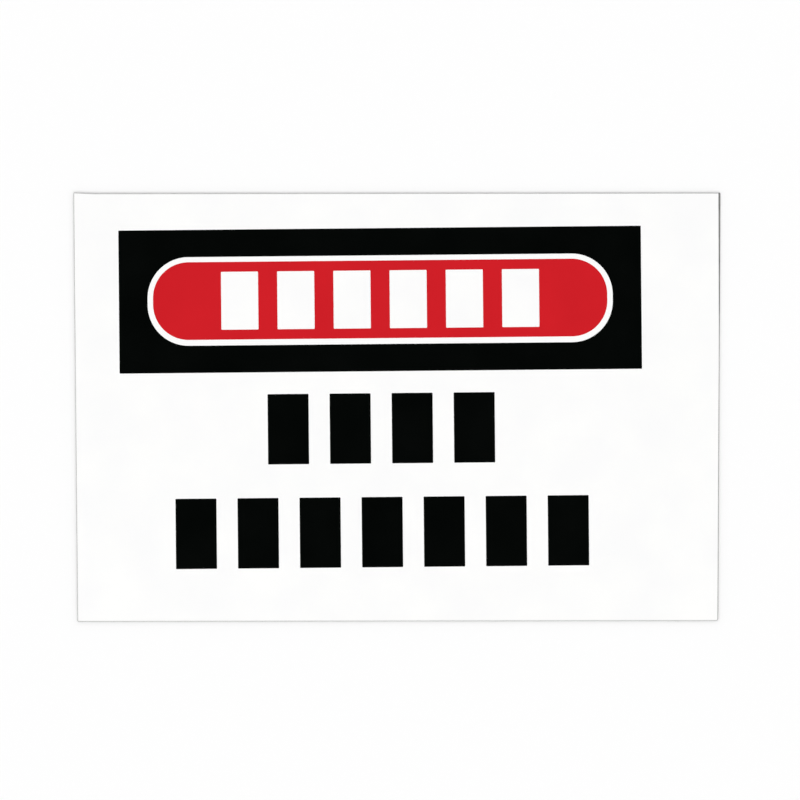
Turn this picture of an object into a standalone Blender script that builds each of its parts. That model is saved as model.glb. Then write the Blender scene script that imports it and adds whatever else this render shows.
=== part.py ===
"""High voltage warning sign: one rigid sheet of white plastic with a screen-printed face.

The sheet lies on its back. +X is the print's right, +Y its top and +Z comes out of the printed face.
The underside is at z = 0, with the origin at the sheet's middle. Metres throughout.

The sheet was sheared by four straight cuts that run slightly off square, so its outline is a little crooked.
The shear drew its front edge down into a soft round, and part of that edge is worn away to a slope.
The print was laid down a little turned and left of the middle. Its ink is a film that stands proud of the
sheet, and every white field inside it is bare sheet.
"""

import math

import bmesh
import bpy
from mathutils import Vector

# The sheet, measured through its middle
SHEET_WIDTH = 0.4572
SHEET_HEIGHT = 0.3042
SHEET_THICKNESS = 0.0014
FRONT_ROUND = 0.0008
BACK_BREAK = 0.0002

# How far each cut runs off square, in degrees anticlockwise
BOTTOM_CUT_TURN = 0.078
RIGHT_CUT_TURN = -0.300
TOP_CUT_TURN = 0.060
LEFT_CUT_TURN = 0.547

# The top cut flares out where it meets the left one
FLARE_LENGTH = 0.0144
FLARE_RISE = 0.0007

# The sheet's corners, rounded in plan
BOTTOM_LEFT_RADIUS = 0.0010
BOTTOM_RIGHT_RADIUS = 0.0018
TOP_RIGHT_RADIUS = 0.0010
TOP_LEFT_RADIUS = 0.0010
FLARE_RADIUS = 0.0100

# The front edge of the right side is worn to a slope, widest at the top corner, that runs out down the side
WORN_WIDTH = 0.0016
WORN_DEPTH = 0.0009
WORN_LENGTH = 0.1840

# The print as a whole: its turn anticlockwise, its shift to the left, and its margins on the sheet
PRINT_TURN = 0.54
PRINT_LEFT_SHIFT = 0.01145
PRINT_SIDE_MARGIN = 0.0433
PRINT_TOP_MARGIN = 0.02505
PRINT_BOTTOM_MARGIN = 0.0386
INK_FILM = 0.00005
INK_CORNER_RADIUS = 0.0005

# The header panel, and the oblong's white band in it, whose round ends have a short flat between their arcs
HEADER_HEIGHT = 0.1015
OBLONG_SIDE_MARGIN = 0.0203
OBLONG_END_MARGIN = 0.0193
OBLONG_END_FLAT = 0.0046
BAND_WIDTH = 0.0039

# The red field inside the band was printed a shade too high, and it holds a row of white blocks
RED_FIELD_RISE = 0.00025
HEADER_BLOCKS = 6
HEADER_BLOCK_GAP = 0.01355
HEADER_ROW_SIDE_MARGIN = 0.0483
HEADER_ROW_END_MARGIN = 0.0070

# The two rows of black blocks under the header: the upper row has fewer blocks of the same size
LOWER_ROW_BLOCKS = 7
UPPER_ROW_BLOCKS = 4
BLOCK_GAP = 0.01495
LOWER_ROW_SIDE_MARGIN = 0.03875
HEADER_TO_ROW_GAP = 0.01555
ROW_TO_ROW_GAP = 0.0238

# Steps of the round stretches: the longest on a wide arc, the fewest on a tight one, and those of a rim
LONGEST_STEP = 0.0025
LEAST_STEPS = 3
FRONT_ROUND_STEPS = 4
BACK_BREAK_STEPS = 1

# Finishes, each in a material slot of its own: name, sRGB colour, roughness
FINISHES = (
    ("white_plastic", "#F4F4F2", 0.38),
    ("black_ink", "#0A0B0B", 0.15),
    ("red_ink", "#D02028", 0.15),
)
WHITE, BLACK, RED = range(3)


def clear_scene():
    """Start from an empty scene."""
    for thing in list(bpy.data.objects):
        bpy.data.objects.remove(thing)


def linear(channel):
    """An sRGB channel from 0 to 1, as linear light."""
    return channel / 12.92 if channel <= 0.04045 else ((channel + 0.055) / 1.055) ** 2.4


def finish(name, colour, roughness):
    """A plain finish, from an sRGB hex colour."""
    material = bpy.data.materials.new(name)
    material.use_nodes = True
    shader = material.node_tree.nodes["Principled BSDF"]
    red, green, blue = (linear(int(colour[i : i + 2], 16) / 255) for i in (1, 3, 5))
    shader.inputs["Base Color"].default_value = (red, green, blue, 1.0)
    shader.inputs["Roughness"].default_value = roughness
    shader.inputs["Metallic"].default_value = 0.0
    return material


def spun(arm, turn):
    """A vector turned anticlockwise."""
    cosine, sine = math.cos(turn), math.sin(turn)
    return Vector((arm.x * cosine - arm.y * sine, arm.x * sine + arm.y * cosine))


def rounded(corners, radii):
    """The outline of a polygon, given anticlockwise, with an arc in place of each corner."""
    outline = []
    for index, corner in enumerate(corners):
        back = (corners[index - 1] - corner).normalized()
        ahead = (corners[(index + 1) % len(corners)] - corner).normalized()
        bend = math.pi - back.angle(ahead)
        side = 1 if back.cross(ahead) < 0 else -1
        radius = radii[index]
        start = corner + back * radius * math.tan(bend / 2)
        middle = start + side * radius * Vector((back.y, -back.x))
        steps = max(LEAST_STEPS, math.ceil(radius * bend / LONGEST_STEP))
        for step in range(steps + 1):
            outline.append(middle + spun(start - middle, side * bend * step / steps))
    return outline


def cut_line(point, heading, turn):
    """A straight cut, as a point on it and the direction it runs in."""
    return Vector(point), spun(Vector((1, 0)), math.radians(heading + turn))


def crossing(cut, other):
    """The corner where two cuts cross."""
    (point, way), (other_point, other_way) = cut, other
    return point + way * ((other_point - point).cross(other_way) / way.cross(other_way))


def sheet_cuts():
    """The bottom, right, top and left cuts, which run anticlockwise round the sheet."""
    half_width, half_height = SHEET_WIDTH / 2, SHEET_HEIGHT / 2
    return (
        cut_line((0, -half_height), 0, BOTTOM_CUT_TURN),
        cut_line((half_width, 0), 90, RIGHT_CUT_TURN),
        cut_line((0, half_height), 180, TOP_CUT_TURN),
        cut_line((-half_width, 0), 270, LEFT_CUT_TURN),
    )


def sheet_outline():
    """The cut edge in plan."""
    bottom, right, top, left = sheet_cuts()
    top_left = crossing(top, left)
    corners = {
        "bottom_left": (crossing(left, bottom), BOTTOM_LEFT_RADIUS),
        "bottom_right": (crossing(bottom, right), BOTTOM_RIGHT_RADIUS),
        "top_right": (crossing(right, top), TOP_RIGHT_RADIUS),
        "flare_start": (top_left - top[1] * FLARE_LENGTH, FLARE_RADIUS),
        "flare_end": (top_left - left[1] * FLARE_RISE, TOP_LEFT_RADIUS),
    }
    return rounded([corner for corner, _ in corners.values()], [radius for _, radius in corners.values()])


class Field:
    """A rectangle of the print in the print's own axes, with its corners rounded."""

    def __init__(self, left, bottom, right, top, radius=INK_CORNER_RADIUS):
        self.left, self.bottom, self.right, self.top = left, bottom, right, top
        self.radius = radius

    def inset(self, side, end, radius=INK_CORNER_RADIUS, rise=0.0):
        """The field inside this one, a margin in from each side and another from each end, and moved up."""
        bottom, top = self.bottom + end + rise, self.top - end + rise
        return Field(self.left + side, bottom, self.right - side, top, radius)

    def blocks(self, count, gap):
        """A row of equal blocks that fills this field from side to side."""
        pitch = (self.right - self.left + gap) / count
        starts = [self.left + number * pitch for number in range(count)]
        return [Field(start, self.bottom, start + pitch - gap, self.top) for start in starts]

    def outline(self):
        """The outline on the sheet, turned and shifted with the print."""
        corners = (
            (self.left, self.bottom),
            (self.right, self.bottom),
            (self.right, self.top),
            (self.left, self.top),
        )
        shift = Vector((-PRINT_LEFT_SHIFT, 0))
        placed = [spun(Vector(corner), math.radians(PRINT_TURN)) + shift for corner in corners]
        return rounded(placed, [self.radius] * len(placed))


def header_fields():
    """The header panel, the oblong's band, its red field and the blocks in that."""
    half_width = SHEET_WIDTH / 2 - PRINT_SIDE_MARGIN
    top = SHEET_HEIGHT / 2 - PRINT_TOP_MARGIN
    panel = Field(-half_width, top - HEADER_HEIGHT, half_width, top)
    end_radius = (HEADER_HEIGHT - 2 * OBLONG_END_MARGIN - OBLONG_END_FLAT) / 2
    band = panel.inset(OBLONG_SIDE_MARGIN, OBLONG_END_MARGIN, end_radius)
    red = band.inset(BAND_WIDTH, BAND_WIDTH, end_radius - BAND_WIDTH, RED_FIELD_RISE)
    row = red.inset(HEADER_ROW_SIDE_MARGIN, HEADER_ROW_END_MARGIN)
    return panel, band, red, row.blocks(HEADER_BLOCKS, HEADER_BLOCK_GAP)


def message_blocks(panel):
    """The blocks of both rows, which share out the height that is left under the header panel."""
    top = panel.bottom - HEADER_TO_ROW_GAP
    bottom = PRINT_BOTTOM_MARGIN - SHEET_HEIGHT / 2
    height = (top - bottom - ROW_TO_ROW_GAP) / 2
    left, right = panel.left + LOWER_ROW_SIDE_MARGIN, panel.right - LOWER_ROW_SIDE_MARGIN
    lower = Field(left, bottom, right, bottom + height).blocks(LOWER_ROW_BLOCKS, BLOCK_GAP)
    block_width = lower[0].right - lower[0].left
    half_width = (UPPER_ROW_BLOCKS * (block_width + BLOCK_GAP) - BLOCK_GAP) / 2
    upper = Field(-half_width, top - height, half_width, top).blocks(UPPER_ROW_BLOCKS, BLOCK_GAP)
    return upper + lower


def round_rim(mesh, rim, width, steps):
    """Rounds the edges of a rim over, to this width on the face and on the cut edge."""
    bmesh.ops.bevel(mesh, geom=rim, offset=width, segments=steps, profile=0.5, affect="EDGES")


def wear_down(mesh):
    """Takes the front edge of the right side down to one flat slope, through three points of its wear."""
    _, right, top, _ = sheet_cuts()
    corner = crossing(right, top)
    up_the_side = right[1]
    outward = Vector((up_the_side.y, -up_the_side.x))
    front = Vector((0, 0, SHEET_THICKNESS))
    inner = (corner - outward * WORN_WIDTH).to_3d() + front
    outer = corner.to_3d() + front - Vector((0, 0, WORN_DEPTH))
    end = (corner - up_the_side * WORN_LENGTH).to_3d() + front
    parted = bmesh.ops.bisect_plane(
        mesh,
        geom=mesh.verts[:] + mesh.edges[:] + mesh.faces[:],
        plane_co=inner,
        plane_no=(end - inner).cross(outer - inner),
        clear_outer=True,
    )["geom_cut"]
    slope_rim = [item for item in parted if isinstance(item, bmesh.types.BMEdge)]
    bmesh.ops.contextual_create(mesh, geom=slope_rim)


def cut_sheet(mesh):
    """The plain sheet, rounded and worn. Returns the edges round its front, left open for the print."""
    back = mesh.faces.new([mesh.verts.new((point.x, point.y, 0)) for point in sheet_outline()])
    back_rim = back.edges[:]
    extruded = bmesh.ops.extrude_face_region(mesh, geom=[back])["geom"]
    lifted = [item for item in extruded if isinstance(item, bmesh.types.BMVert)]
    front_rim = [item for item in extruded if isinstance(item, bmesh.types.BMEdge)]
    bmesh.ops.translate(mesh, vec=(0, 0, SHEET_THICKNESS), verts=lifted)
    bmesh.ops.recalc_face_normals(mesh, faces=mesh.faces)
    round_rim(mesh, front_rim, FRONT_ROUND, FRONT_ROUND_STEPS)
    round_rim(mesh, back_rim, BACK_BREAK, BACK_BREAK_STEPS)
    wear_down(mesh)
    bmesh.ops.recalc_face_normals(mesh, faces=mesh.faces)
    front = max(mesh.faces, key=lambda face: face.normal.z * face.calc_area())
    rim = front.edges[:]
    bmesh.ops.delete(mesh, geom=[front], context="FACES_ONLY")
    return rim


def draw(mesh, field):
    """A field's outline on the sheet's front, as a closed loop of edges."""
    points = [mesh.verts.new((point.x, point.y, SHEET_THICKNESS)) for point in field.outline()]
    return [mesh.edges.new((points[index - 1], points[index])) for index in range(len(points))]


def fill(mesh, loops, slot):
    """The faces between an outer loop and the loops inside it, all in one finish."""
    edges = [edge for loop in loops for edge in loop]
    made = bmesh.ops.triangle_fill(mesh, use_beauty=True, normal=(0, 0, 1), edges=edges)["geom"]
    faces = [item for item in made if isinstance(item, bmesh.types.BMFace)]
    for face in faces:
        face.material_index = slot
    return faces


def print_front(mesh, rim):
    """The front, divided along every outline of the print, with the ink raised off the bare sheet."""
    panel, band, red, header_row = header_fields()
    panel_loop, band_loop, red_loop = (draw(mesh, field) for field in (panel, band, red))
    header_loops = [draw(mesh, block) for block in header_row]
    message_loops = [draw(mesh, block) for block in message_blocks(panel)]

    fill(mesh, [rim, panel_loop, *message_loops], WHITE)
    fill(mesh, [band_loop, red_loop], WHITE)
    for loop in header_loops:
        fill(mesh, [loop], WHITE)
    inked = fill(mesh, [panel_loop, band_loop], BLACK)
    inked += fill(mesh, [red_loop, *header_loops], RED)
    for loop in message_loops:
        inked += fill(mesh, [loop], BLACK)

    bare_edges = {edge for face in inked for edge in face.edges}
    extruded = bmesh.ops.extrude_face_region(mesh, geom=inked + list(bare_edges))["geom"]
    lifted = [item for item in extruded if isinstance(item, bmesh.types.BMVert)]
    bmesh.ops.translate(mesh, vec=(0, 0, INK_FILM), verts=lifted)


def make_sheet():
    """The whole sign, one solid."""
    mesh = bmesh.new()
    rim = cut_sheet(mesh)
    print_front(mesh, rim)
    bmesh.ops.recalc_face_normals(mesh, faces=mesh.faces)

    data = bpy.data.meshes.new("sign_sheet")
    mesh.to_mesh(data)
    mesh.free()
    for name, colour, roughness in FINISHES:
        data.materials.append(finish(name, colour, roughness))
    bpy.context.collection.objects.link(bpy.data.objects.new("sign_sheet", data))


clear_scene()
make_sheet()
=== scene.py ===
"""A high voltage warning sign, lying face up on a pale floor and seen from straight above.

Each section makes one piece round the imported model, in metres, in the model's own axes: +X is the print's
right, +Y its top and +Z comes out of the printed face.
"""

import math

import bpy
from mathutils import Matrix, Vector


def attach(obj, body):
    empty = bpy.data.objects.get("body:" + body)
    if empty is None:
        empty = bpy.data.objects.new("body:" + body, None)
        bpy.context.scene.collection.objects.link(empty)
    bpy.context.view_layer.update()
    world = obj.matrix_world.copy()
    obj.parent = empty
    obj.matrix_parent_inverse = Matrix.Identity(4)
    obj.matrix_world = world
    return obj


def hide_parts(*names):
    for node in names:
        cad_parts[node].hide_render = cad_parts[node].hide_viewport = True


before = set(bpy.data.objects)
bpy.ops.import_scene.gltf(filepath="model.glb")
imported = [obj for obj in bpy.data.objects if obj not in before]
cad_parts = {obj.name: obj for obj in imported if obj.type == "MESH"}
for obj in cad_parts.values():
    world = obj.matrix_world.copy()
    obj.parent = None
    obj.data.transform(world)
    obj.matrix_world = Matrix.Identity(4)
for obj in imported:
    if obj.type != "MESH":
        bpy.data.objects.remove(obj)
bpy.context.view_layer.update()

# The sheet is rigid white PVC, 0.055 inch thick, rolled smooth and then sheared to size by four straight
# cuts that ran a little off square. The blade drew its front edge down to a soft round, and handling has
# worn that edge away to a slope at the upper right.
SHEET_WIDTH = 0.4572
SHEET_HEIGHT = 0.3042
SHEET_THICKNESS = 0.0014
FRONT_ROUND = 0.0008
FRONT_ROUND_STEPS = 5
BACK_BREAK = 0.0002
BACK_BREAK_STEPS = 2

# How far each cut ran off square, in degrees anticlockwise
BOTTOM_CUT_TURN = 0.078
RIGHT_CUT_TURN = -0.300
TOP_CUT_TURN = 0.060
LEFT_CUT_TURN = 0.547

# The top cut flares out where it meets the left one
FLARE_LENGTH = 0.0144
FLARE_RISE = 0.0007
FLARE_RADIUS = 0.0100

# The sheet's corners, rounded in plan
BOTTOM_LEFT_RADIUS = 0.0010
BOTTOM_RIGHT_RADIUS = 0.0018
TOP_RIGHT_RADIUS = 0.0010
TOP_LEFT_RADIUS = 0.0010

# A rounding in plan has enough facets to stay this close to the true arc, and never fewer than two
ARC_TOLERANCE = 0.000005
FEWEST_FACETS = 2

# The worn slope is widest at the top right corner, and runs out down the side
WORN_WIDTH = 0.0016
WORN_DEPTH = 0.0009
WORN_LENGTH = 0.1840

# The blank that the sheet is cut from is larger by this much all round
BLANK_SPARE = 0.01

# Points closer than SNUG lie at one place, and edges within CORNER_REACH of a corner belong to it
SNUG = 0.00001
CORNER_REACH = 0.005

# In degrees, the least turn between the faces at a sharp rim, and the most between two shaded as one
SHARP_TURN = 60
SMOOTH_TURN = 24


def slab(name, left, bottom, right, top, low, high):
    """A flat block between these bounds, selected by itself, to be shaped into a piece."""
    bpy.ops.object.select_all(action="DESELECT")
    bpy.ops.mesh.primitive_cube_add(
        size=1,
        location=((left + right) / 2, (bottom + top) / 2, (low + high) / 2),
        scale=(right - left, top - bottom, high - low),
    )
    block = bpy.context.object
    block.name = block.data.name = name
    bpy.ops.object.transform_apply(location=True, rotation=True, scale=True)
    return block


def heading(degrees):
    """A direction in plan, anticlockwise from +X."""
    return Vector((math.cos(math.radians(degrees)), math.sin(math.radians(degrees))))


def cut(point, way, trim=False):
    """Cuts the piece in edit mode along an upright plane, and may trim off what lies beyond it."""
    bpy.ops.mesh.select_all(action="SELECT")
    bpy.ops.mesh.bisect(plane_co=(*point, 0), plane_no=(*way, 0), use_fill=trim, clear_outer=trim)


def corner_of(piece, side_x, side_y):
    """The corner of a piece in plan that lies furthest to these sides."""
    return max((vertex.co.xy for vertex in piece.data.vertices), key=Vector((side_x, side_y)).dot).copy()


def pick_edges(piece, wanted):
    """Goes into edit mode with only a piece's wanted edges selected, going by their ends."""
    bpy.ops.object.mode_set(mode="EDIT")
    bpy.ops.mesh.select_mode(type="EDGE")
    bpy.ops.mesh.select_all(action="DESELECT")
    bpy.ops.object.mode_set(mode="OBJECT")
    for edge in piece.data.edges:
        edge.select = wanted(edge, *(piece.data.vertices[index].co for index in edge.vertices))
    bpy.ops.object.mode_set(mode="EDIT")


def round_corners(piece, radius, near=None, bend=math.pi / 2):
    """Rounds a piece's corners in plan, or only the one near a point, where the outline bends this much."""

    def wanted(_, foot, head):
        upright = (head.xy - foot.xy).length < SNUG
        return upright and (near is None or (foot.xy - near).length < CORNER_REACH)

    facet_turn = 2 * math.acos(1 - ARC_TOLERANCE / radius)
    pick_edges(piece, wanted)
    bpy.ops.mesh.bevel(
        offset_type="OFFSET",
        offset=radius * math.tan(bend / 2),
        segments=max(FEWEST_FACETS, math.ceil(bend / facet_turn)),
        affect="EDGES",
    )
    bpy.ops.object.mode_set(mode="OBJECT")


def round_rim(piece, height, width, steps):
    """Rounds the sharp edges that run round a piece at this height."""
    bpy.ops.object.mode_set(mode="EDIT")
    bpy.ops.mesh.select_mode(type="EDGE")
    bpy.ops.mesh.select_all(action="DESELECT")
    bpy.ops.mesh.edges_select_sharp(sharpness=math.radians(SHARP_TURN))
    bpy.ops.object.mode_set(mode="OBJECT")
    sharp = {edge.index for edge in piece.data.edges if edge.select}
    pick_edges(
        piece,
        lambda edge, *ends: edge.index in sharp and all(abs(end.z - height) < SNUG for end in ends),
    )
    bpy.ops.mesh.bevel(offset=width, segments=steps, affect="EDGES")
    bpy.ops.object.mode_set(mode="OBJECT")


def shade(piece):
    """Shades a piece smooth across its roundings, with its flat faces kept flat to the eye."""
    bpy.ops.object.shade_smooth_by_angle(angle=math.radians(SMOOTH_TURN))
    even = piece.modifiers.new("even_normals", "WEIGHTED_NORMAL")
    even.keep_sharp = True
    bpy.ops.object.modifier_apply(modifier=even.name)


half_width, half_height = SHEET_WIDTH / 2, SHEET_HEIGHT / 2
plastic_sheet = slab(
    "plastic_sheet",
    -half_width - BLANK_SPARE,
    -half_height - BLANK_SPARE,
    half_width + BLANK_SPARE,
    half_height + BLANK_SPARE,
    0,
    SHEET_THICKNESS,
)
bpy.ops.object.mode_set(mode="EDIT")
for point, facing in (
    ((0, -half_height), 270 + BOTTOM_CUT_TURN),
    ((half_width, 0), RIGHT_CUT_TURN),
    ((0, half_height), 90 + TOP_CUT_TURN),
    ((-half_width, 0), 180 + LEFT_CUT_TURN),
):
    cut(point, heading(facing), trim=True)
bpy.ops.object.mode_set(mode="OBJECT")
top_left, top_right = corner_of(plastic_sheet, -1, 1), corner_of(plastic_sheet, 1, 1)

# For the flare, the top edge is parted a little short of the left cut, the corner is drawn out along that
# cut, and the parting is closed again everywhere but in the top edge
along_top = heading(TOP_CUT_TURN)
flare_start = top_left + along_top * FLARE_LENGTH
flare_end = top_left + heading(90 + LEFT_CUT_TURN) * FLARE_RISE
bpy.ops.object.mode_set(mode="EDIT")
cut(flare_start, along_top)
pick_edges(plastic_sheet, lambda _, *ends: all((end.xy - top_left).length < SNUG for end in ends))
bpy.ops.transform.translate(value=(*(flare_end - top_left), 0))
pick_edges(
    plastic_sheet,
    lambda _, *ends: all(abs((end.xy - flare_start).dot(along_top)) < SNUG for end in ends)
    and min(end.y for end in ends) < 0,
)
bpy.ops.mesh.dissolve_edges(use_verts=True)
bpy.ops.object.mode_set(mode="OBJECT")

round_corners(plastic_sheet, FLARE_RADIUS, flare_start, math.atan(FLARE_RISE / FLARE_LENGTH))
round_corners(plastic_sheet, TOP_LEFT_RADIUS, flare_end)
round_corners(plastic_sheet, TOP_RIGHT_RADIUS, top_right)
round_corners(plastic_sheet, BOTTOM_RIGHT_RADIUS, corner_of(plastic_sheet, 1, -1))
round_corners(plastic_sheet, BOTTOM_LEFT_RADIUS, corner_of(plastic_sheet, -1, -1))
round_rim(plastic_sheet, SHEET_THICKNESS, FRONT_ROUND, FRONT_ROUND_STEPS)
round_rim(plastic_sheet, 0, BACK_BREAK, BACK_BREAK_STEPS)

# The slope lies through three points: its inner and outer side at the corner, and where it runs out
front = Vector((0, 0, SHEET_THICKNESS))
worn_inner = (top_right - heading(RIGHT_CUT_TURN) * WORN_WIDTH).to_3d() + front
worn_outer = top_right.to_3d() + front - Vector((0, 0, WORN_DEPTH))
worn_end = (top_right - heading(90 + RIGHT_CUT_TURN) * WORN_LENGTH).to_3d() + front
slope_facing = (worn_end - worn_inner).cross(worn_outer - worn_inner).normalized()
bpy.ops.object.mode_set(mode="EDIT")
bpy.ops.mesh.select_all(action="SELECT")
bpy.ops.mesh.bisect(plane_co=worn_inner, plane_no=slope_facing, use_fill=True, clear_outer=True)
bpy.ops.object.mode_set(mode="OBJECT")
shade(plastic_sheet)


def colour(hex_code):
    """An sRGB hex colour as the linear one that a shader takes."""
    channels = (int(hex_code[start : start + 2], 16) / 255 for start in (1, 3, 5))
    return (*(c / 12.92 if c <= 0.04045 else ((c + 0.055) / 1.055) ** 2.4 for c in channels), 1)


def plug_in(finish, node, sockets):
    """Sets each of these sockets of a node to a value, or links it to another node's output."""
    for name, value in sockets.items():
        if isinstance(value, bpy.types.NodeSocket):
            finish.node_tree.links.new(value, node.inputs[name])
        else:
            node.inputs[name].default_value = value


def add_node(finish, kind, sockets, ramp=(), **settings):
    """A node with its settings and its sockets, and its ramp's stops, each a position and a hex colour."""
    node = finish.node_tree.nodes.new(kind)
    for name, value in settings.items():
        setattr(node, name, value)
    for stop, (position, hex_code) in enumerate(ramp):
        node.color_ramp.elements[stop].position = position
        node.color_ramp.elements[stop].color = colour(hex_code)
    plug_in(finish, node, sockets)
    return node


def start_material(name):
    """A new material, with its shader and the piece's own coordinates."""
    finish = bpy.data.materials.new(name)
    finish.use_nodes = True
    place = add_node(finish, "ShaderNodeTexCoord", {}).outputs["Object"]
    return finish, finish.node_tree.nodes["Principled BSDF"], place


def per_metre(millimetres):
    """The scale of a pattern whose waves, grains or lines are this size: how many of them a metre holds."""
    return 1000 / millimetres


# Rolled PVC sheet: close to pure white, satin, and flat but for long slow waves that show in what it
# mirrors. Stacking and wiping have left it duller in patches and along fine scuffs. The rollers' own grain,
# about 0.3 mm, is too fine to show and is drawn at 1.8 mm. Sizes are in millimetres, the turn in degrees.
PVC_WAVE = 55
PVC_PATCH = 38
PVC_SCUFF_LENGTH = 30
PVC_SCUFF_WIDTH = 2.2
PVC_SCUFF_TURN = 17
PVC_GRAIN = 1.8
PVC_IOR = 1.53

rolled_pvc, pvc_shader, pvc_place = start_material("rolled_white_pvc")
patches = add_node(
    rolled_pvc,
    "ShaderNodeTexNoise",
    {"Vector": pvc_place, "Scale": per_metre(PVC_PATCH), "Detail": 3, "Roughness": 0.55},
)
whites = add_node(
    rolled_pvc,
    "ShaderNodeValToRGB",
    {"Fac": patches.outputs["Fac"]},
    ramp=((0.35, "#FCFCFC"), (0.65, "#FEFEFD")),
)
scuff_place = add_node(
    rolled_pvc,
    "ShaderNodeMapping",
    {
        "Vector": pvc_place,
        "Rotation": (0, 0, math.radians(PVC_SCUFF_TURN)),
        "Scale": (per_metre(PVC_SCUFF_LENGTH), per_metre(PVC_SCUFF_WIDTH), 1),
    },
)
scuffs = add_node(
    rolled_pvc,
    "ShaderNodeTexNoise",
    {"Vector": scuff_place.outputs["Vector"], "Scale": 1, "Detail": 4, "Roughness": 0.6},
)
wear = add_node(
    rolled_pvc,
    "ShaderNodeMath",
    {0: patches.outputs["Fac"], 1: scuffs.outputs["Fac"]},
    operation="ADD",
)
dullness = add_node(
    rolled_pvc,
    "ShaderNodeMapRange",
    {"Value": wear.outputs["Value"], "From Min": 0.7, "From Max": 1.3, "To Min": 0.33, "To Max": 0.46},
)
waves = add_node(
    rolled_pvc,
    "ShaderNodeTexNoise",
    {"Vector": pvc_place, "Scale": per_metre(PVC_WAVE), "Detail": 1},
)
grain = add_node(
    rolled_pvc,
    "ShaderNodeTexNoise",
    {"Vector": pvc_place, "Scale": per_metre(PVC_GRAIN), "Detail": 2},
)
wavy = add_node(
    rolled_pvc,
    "ShaderNodeBump",
    {"Height": waves.outputs["Fac"], "Strength": 0.4, "Distance": 0.0006},
)
grained = add_node(
    rolled_pvc,
    "ShaderNodeBump",
    {
        "Height": grain.outputs["Fac"],
        "Strength": 0.25,
        "Distance": 0.00008,
        "Normal": wavy.outputs["Normal"],
    },
)
plug_in(
    rolled_pvc,
    pvc_shader,
    {
        "Base Color": whites.outputs["Color"],
        "Roughness": dullness.outputs["Result"],
        "Normal": grained.outputs["Normal"],
        "IOR": PVC_IOR,
    },
)

# The sheared edge of the same PVC: matt, with the blade's fine upright lines in it. They lie about 0.1 mm
# apart and are drawn at 0.6 mm. Its grey is painted shade: it darkens the rounded edge into the thin shadow
# line round the sheet. Sizes are in millimetres.
SHEAR_LINE = 0.6
SHEAR_LINE_HEIGHT = 25

sheared_pvc, edge_shader, edge_place = start_material("sheared_white_pvc")
line_place = add_node(
    sheared_pvc,
    "ShaderNodeMapping",
    {
        "Vector": edge_place,
        "Scale": (per_metre(SHEAR_LINE), per_metre(SHEAR_LINE), per_metre(SHEAR_LINE_HEIGHT)),
    },
)
lines = add_node(
    sheared_pvc,
    "ShaderNodeTexNoise",
    {"Vector": line_place.outputs["Vector"], "Scale": 1, "Detail": 2},
)
# Painted shade: the edge's greys darken it into the thin shadow line round the sheet
painted_shade_greys = add_node(
    sheared_pvc,
    "ShaderNodeValToRGB",
    {"Fac": lines.outputs["Fac"]},
    ramp=((0.3, "#B4B4B3"), (0.7, "#C8C8C7")),
)
shorn = add_node(
    sheared_pvc,
    "ShaderNodeBump",
    {"Height": lines.outputs["Fac"], "Strength": 0.5, "Distance": 0.0001},
)
plug_in(
    sheared_pvc,
    edge_shader,
    {
        "Base Color": painted_shade_greys.outputs["Color"],
        "Roughness": 0.6,
        "Normal": shorn.outputs["Normal"],
        "IOR": PVC_IOR,
    },
)

# The worn slope of the same PVC: dull, and dark grey in blots and in streaks that run down the side. Sizes
# are in millimetres.
DARK_BLOT = 4
DARK_STREAK = 14

dark_slope_pvc, slope_shader, slope_place = start_material("dark_grey_slope_pvc")
streak_place = add_node(
    dark_slope_pvc,
    "ShaderNodeMapping",
    {
        "Vector": slope_place,
        "Scale": (per_metre(DARK_BLOT), per_metre(DARK_STREAK), per_metre(DARK_BLOT)),
    },
)
dark_blots = add_node(
    dark_slope_pvc,
    "ShaderNodeTexNoise",
    {"Vector": streak_place.outputs["Vector"], "Scale": 1, "Detail": 5, "Roughness": 0.6},
)
# The slope's dark greys, in blots and in streaks down the side
dark_greys = add_node(
    dark_slope_pvc,
    "ShaderNodeValToRGB",
    {"Fac": dark_blots.outputs["Fac"]},
    ramp=((0.3, "#525251"), (0.7, "#898987")),
)
rubbed = add_node(
    dark_slope_pvc,
    "ShaderNodeBump",
    {"Height": dark_blots.outputs["Fac"], "Strength": 0.3, "Distance": 0.0001},
)
plug_in(
    dark_slope_pvc,
    slope_shader,
    {
        "Base Color": dark_greys.outputs["Color"],
        "Roughness": 0.7,
        "Normal": rubbed.outputs["Normal"],
        "IOR": PVC_IOR,
    },
)

# The slope is dark grey, what faces neither straight up nor straight down is sheared, and the rest is
# rolled. A face looks a given way where the cosine of the angle between the two is above this.
LOOKS_THAT_WAY = 0.999

finishes = [rolled_pvc, sheared_pvc, dark_slope_pvc]
for finish in finishes:
    plastic_sheet.data.materials.append(finish)
for face in plastic_sheet.data.polygons:
    if face.normal.dot(slope_facing) > LOOKS_THAT_WAY:
        face.material_index = finishes.index(dark_slope_pvc)
    elif abs(face.normal.z) < LOOKS_THAT_WAY:
        face.material_index = finishes.index(sheared_pvc)
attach(plastic_sheet, "root")
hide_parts("sign_sheet")

# The header panel is a film of glossy black screen ink, pulled through a mesh in one pass. A long oblong
# with round ends is left open in it, and the bare sheet shows there as a white band round the red field.
PRINT_SIDE_MARGIN = 0.0433
PRINT_TOP_MARGIN = 0.02505
HEADER_HEIGHT = 0.1015

# The oblong's side margins lie left and right of it, and its end margins above and below. Each of its round
# ends has a short flat between its two arcs.
OBLONG_SIDE_MARGIN = 0.0203
OBLONG_END_MARGIN = 0.0193
OBLONG_END_FLAT = 0.0046

# The whole print was laid down a little askew: turned anticlockwise, in degrees, and shifted to the left
PRINT_TURN = 0.54
PRINT_LEFT_SHIFT = 0.01145

# The film stands proud of the sheet, is keyed a little way into it, and has a slightly rounded rim
INK_FILM = 0.00005
INK_SINK = 0.00002
INK_RIM = 0.00002
INK_RIM_STEPS = 1
INK_CORNER_RADIUS = 0.0005

# The shape of an opening is drawn out to this many times the thickness of the film
OPENING_STRETCH = 5

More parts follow.
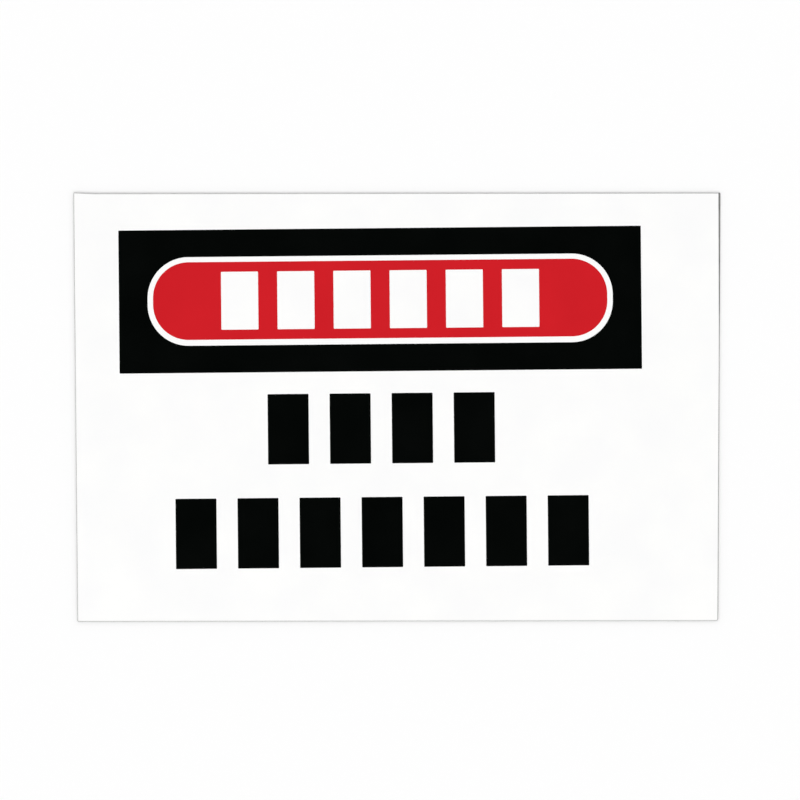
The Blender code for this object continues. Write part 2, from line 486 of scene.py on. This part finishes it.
panel_right = half_width - PRINT_SIDE_MARGIN
panel_top = half_height - PRINT_TOP_MARGIN
panel_bottom = panel_top - HEADER_HEIGHT
oblong_right = panel_right - OBLONG_SIDE_MARGIN
oblong_top = panel_top - OBLONG_END_MARGIN
oblong_bottom = panel_bottom + OBLONG_END_MARGIN
oblong_radius = (HEADER_HEIGHT - 2 * OBLONG_END_MARGIN - OBLONG_END_FLAT) / 2


def ink_film(name, left, bottom, right, top, radius):
    """A field of ink, in the print's own axes, with its corners rounded."""
    film = slab(name, left, bottom, right, top, SHEET_THICKNESS - INK_SINK, SHEET_THICKNESS + INK_FILM)
    round_corners(film, radius)
    return film


def take(piece):
    """Selects a piece by itself, to be worked on."""
    bpy.ops.object.select_all(action="DESELECT")
    piece.select_set(True)
    bpy.context.view_layer.objects.active = piece


def knock_out(film, opening):
    """Leaves an opening in a film of ink: its shape is drawn out to pass right through it, and cut away."""
    opening.scale.z = OPENING_STRETCH
    opening.location.z = (1 - OPENING_STRETCH) * SHEET_THICKNESS
    cutter = film.modifiers.new("opening", "BOOLEAN")
    cutter.operation = "DIFFERENCE"
    cutter.solver = "EXACT"
    cutter.object = opening
    take(film)
    bpy.ops.object.modifier_apply(modifier=cutter.name)
    bpy.data.objects.remove(opening)


def lay_down(film):
    """Rounds the rim of a film of ink, and turns and shifts it with the rest of the print."""
    take(film)
    round_rim(film, SHEET_THICKNESS + INK_FILM, INK_RIM, INK_RIM_STEPS)
    film.rotation_euler.z = math.radians(PRINT_TURN)
    film.location.x = -PRINT_LEFT_SHIFT
    bpy.ops.object.transform_apply(location=True, rotation=True, scale=True)
    shade(film)


header_panel = ink_film(
    "header_panel", -panel_right, panel_bottom, panel_right, panel_top, INK_CORNER_RADIUS
)
oblong = ink_film("oblong", -oblong_right, oblong_bottom, oblong_right, oblong_top, oblong_radius)
knock_out(header_panel, oblong)
lay_down(header_panel)

# Screen ink: a solvent ink that dries to a gloss with a faint orange peel, a little duller where it lies
# thinner. Its dense pigment comes right up to the surface, so that it mirrors less than clear gloss would
# and stays deep from a slant. Its peel, about 1 mm across, is drawn at 2.4 mm. Sizes are in millimetres.
INK_PEEL = 2.4
INK_CLOUD = 45


def screen_ink(name, deep, pale):
    """Dried screen ink, between two close shades of its colour."""
    ink, shader, place = start_material(name)
    clouds = add_node(
        ink,
        "ShaderNodeTexNoise",
        {"Vector": place, "Scale": per_metre(INK_CLOUD), "Detail": 3, "Roughness": 0.5},
    )
    shades = add_node(
        ink,
        "ShaderNodeValToRGB",
        {"Fac": clouds.outputs["Fac"]},
        ramp=((0.35, deep), (0.65, pale)),
    )
    gloss = add_node(
        ink,
        "ShaderNodeMapRange",
        {
            "Value": clouds.outputs["Fac"],
            "From Min": 0.3,
            "From Max": 0.7,
            "To Min": 0.12,
            "To Max": 0.17,
        },
    )
    peel = add_node(
        ink,
        "ShaderNodeTexNoise",
        {"Vector": place, "Scale": per_metre(INK_PEEL), "Detail": 1},
    )
    peeled = add_node(
        ink,
        "ShaderNodeBump",
        {"Height": peel.outputs["Fac"], "Strength": 0.25, "Distance": 0.00008},
    )
    plug_in(
        ink,
        shader,
        {
            "Base Color": shades.outputs["Color"],
            "Roughness": gloss.outputs["Result"],
            "Normal": peeled.outputs["Normal"],
            "IOR": 1.5,
            "Specular IOR Level": 0.2,
        },
    )
    return ink


black_screen_ink = screen_ink("black_screen_ink", "#040605", "#060807")
header_panel.data.materials.append(black_screen_ink)
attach(header_panel, "root")

# The red field is a second pass of ink inside the oblong, a band's width short of its edge and printed a
# shade too high. A row of plain blocks is left open in it, where the bare sheet shows white.
BAND_WIDTH = 0.0039
RED_FIELD_RISE = 0.00025
HEADER_BLOCKS = 6
HEADER_BLOCK_GAP = 0.01355
HEADER_ROW_SIDE_MARGIN = 0.0483
HEADER_ROW_END_MARGIN = 0.0070

red_right = oblong_right - BAND_WIDTH
red_bottom = oblong_bottom + BAND_WIDTH + RED_FIELD_RISE
red_top = oblong_top - BAND_WIDTH + RED_FIELD_RISE
red_field = ink_film("red_field", -red_right, red_bottom, red_right, red_top, oblong_radius - BAND_WIDTH)


def row_of_blocks(name, count, gap, right, bottom, top):
    """A row of equal blocks, each side of the middle: one is modelled, and the others are copies of it."""
    pitch = (2 * right + gap) / count
    first = ink_film(name, -right, bottom, pitch - gap - right, top, INK_CORNER_RADIUS)
    take(first)
    for number in range(1, count):
        block = first.copy()
        block.data = first.data.copy()
        block.location.x = number * pitch
        bpy.context.collection.objects.link(block)
        block.select_set(True)
    bpy.ops.object.join()
    return first


header_row = row_of_blocks(
    "header_row",
    HEADER_BLOCKS,
    HEADER_BLOCK_GAP,
    red_right - HEADER_ROW_SIDE_MARGIN,
    red_bottom + HEADER_ROW_END_MARGIN,
    red_top - HEADER_ROW_END_MARGIN,
)
knock_out(red_field, header_row)
lay_down(red_field)
red_field.data.materials.append(screen_ink("red_screen_ink", "#CC1F27", "#D02028"))
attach(red_field, "root")

# Two rows of plain black blocks stand under the header panel. They are of the panel's own ink, laid down in
# the same pass. The upper row has fewer blocks of the same size.
PRINT_BOTTOM_MARGIN = 0.0386
LOWER_ROW_BLOCKS = 7
UPPER_ROW_BLOCKS = 4
BLOCK_GAP = 0.01495
LOWER_ROW_SIDE_MARGIN = 0.03875
HEADER_TO_ROW_GAP = 0.01555
ROW_TO_ROW_GAP = 0.0238

rows_top = panel_bottom - HEADER_TO_ROW_GAP
rows_bottom = PRINT_BOTTOM_MARGIN - half_height
row_height = (rows_top - rows_bottom - ROW_TO_ROW_GAP) / 2
lower_right = panel_right - LOWER_ROW_SIDE_MARGIN
block_pitch = (2 * lower_right + BLOCK_GAP) / LOWER_ROW_BLOCKS
upper_right = (UPPER_ROW_BLOCKS * block_pitch - BLOCK_GAP) / 2
for name, count, right, bottom in (
    ("message_row_upper", UPPER_ROW_BLOCKS, upper_right, rows_top - row_height),
    ("message_row_lower", LOWER_ROW_BLOCKS, lower_right, rows_bottom),
):
    message_row = row_of_blocks(name, count, BLOCK_GAP, right, bottom, bottom + row_height)
    lay_down(message_row)
    message_row.data.materials.append(black_screen_ink)
    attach(message_row, "root")

# The floor is a wide sweep of matt white paper. It takes the sign's shadow, and its own colour alone makes
# it white: it has no light of its own. It lies a hair under the sheet, so that the two faces don't flicker.
FLOOR_SIZE = 24
FLOOR_DROP = 0.0001

bpy.ops.object.select_all(action="DESELECT")
bpy.ops.mesh.primitive_plane_add(size=FLOOR_SIZE, location=(0, 0, -FLOOR_DROP))
floor = bpy.context.object
floor.name = floor.data.name = "floor"
white_paper, paper_shader, _ = start_material("white_paper")
plug_in(
    white_paper,
    paper_shader,
    {"Base Color": colour("#FBFBFB"), "Roughness": 1, "Specular IOR Level": 0},
)
floor.data.materials.append(white_paper)

# The studio is a ring of broad lit panels round the sign, with a dark opening above it where the camera
# looks in, as for copying flat artwork. Levels are of the world's strength, and the other three are heights
# on a sphere round the sign, from 0 at the horizon to 1 straight up.
HORIZON_LEVEL = 1.0
PANEL_LEVEL = 1.35
PANELS_FROM = 0.50
PANELS_UP_TO = 0.76
DARK_FROM = 0.88

world = bpy.data.worlds.new("studio")
bpy.context.scene.world = world
world.use_nodes = True
outlook = add_node(world, "ShaderNodeTexCoord", {})
height = add_node(world, "ShaderNodeSeparateXYZ", {"Vector": outlook.outputs["Generated"]})
brighten = add_node(
    world,
    "ShaderNodeMapRange",
    {
        "Value": height.outputs["Z"],
        "From Min": 0,
        "From Max": PANELS_FROM,
        "To Min": HORIZON_LEVEL,
        "To Max": PANEL_LEVEL,
    },
)
darken = add_node(
    world,
    "ShaderNodeMapRange",
    {
        "Value": height.outputs["Z"],
        "From Min": PANELS_UP_TO,
        "From Max": DARK_FROM,
        "To Min": PANEL_LEVEL,
        "To Max": 0,
    },
)
panels = add_node(
    world,
    "ShaderNodeMath",
    {0: brighten.outputs["Result"], 1: darken.outputs["Result"]},
    operation="MINIMUM",
)
plug_in(
    world,
    world.node_tree.nodes["Background"],
    {"Color": colour("#FFFFFF"), "Strength": panels.outputs["Value"]},
)

# One broad soft lamp stands at the lower left and makes the light a little stronger from there. Its share is
# of the plain level on a flat surface, at which white shows as white. Its angles are in degrees, and the
# azimuth is counted from the sign's foot, negative to its left.
LAMP_SHARE = 0.15
LAMP_AZIMUTH = -20
LAMP_ELEVATION = 50
LAMP_SPREAD = 30

lamp_data = bpy.data.lights.new("lamp_lower_left", "SUN")
lamp_data.angle = math.radians(LAMP_SPREAD)
lamp_data.energy = LAMP_SHARE * math.pi / math.sin(math.radians(LAMP_ELEVATION))
lamp = bpy.data.objects.new("lamp_lower_left", lamp_data)
lamp.rotation_euler = (math.radians(90 - LAMP_ELEVATION), 0, math.radians(LAMP_AZIMUTH))
bpy.context.collection.objects.link(lamp)

# The camera looks straight down, from where it stood over the sheet for the photograph. Its lens and its
# sensor are in millimetres.
VIEW_LENS = 60
VIEW_SENSOR = 36
VIEW_HEIGHT = 0.9472
VIEW_RIGHT = 0.0019
VIEW_UP = 0.00513

camera_data = bpy.data.cameras.new("camera")
camera_data.lens = VIEW_LENS
camera_data.sensor_width = VIEW_SENSOR
camera = bpy.data.objects.new("camera", camera_data)
camera.location = (VIEW_RIGHT, VIEW_UP, VIEW_HEIGHT)
bpy.context.collection.objects.link(camera)
bpy.context.scene.camera = camera
bpy.context.scene.view_settings.view_transform = "Standard"
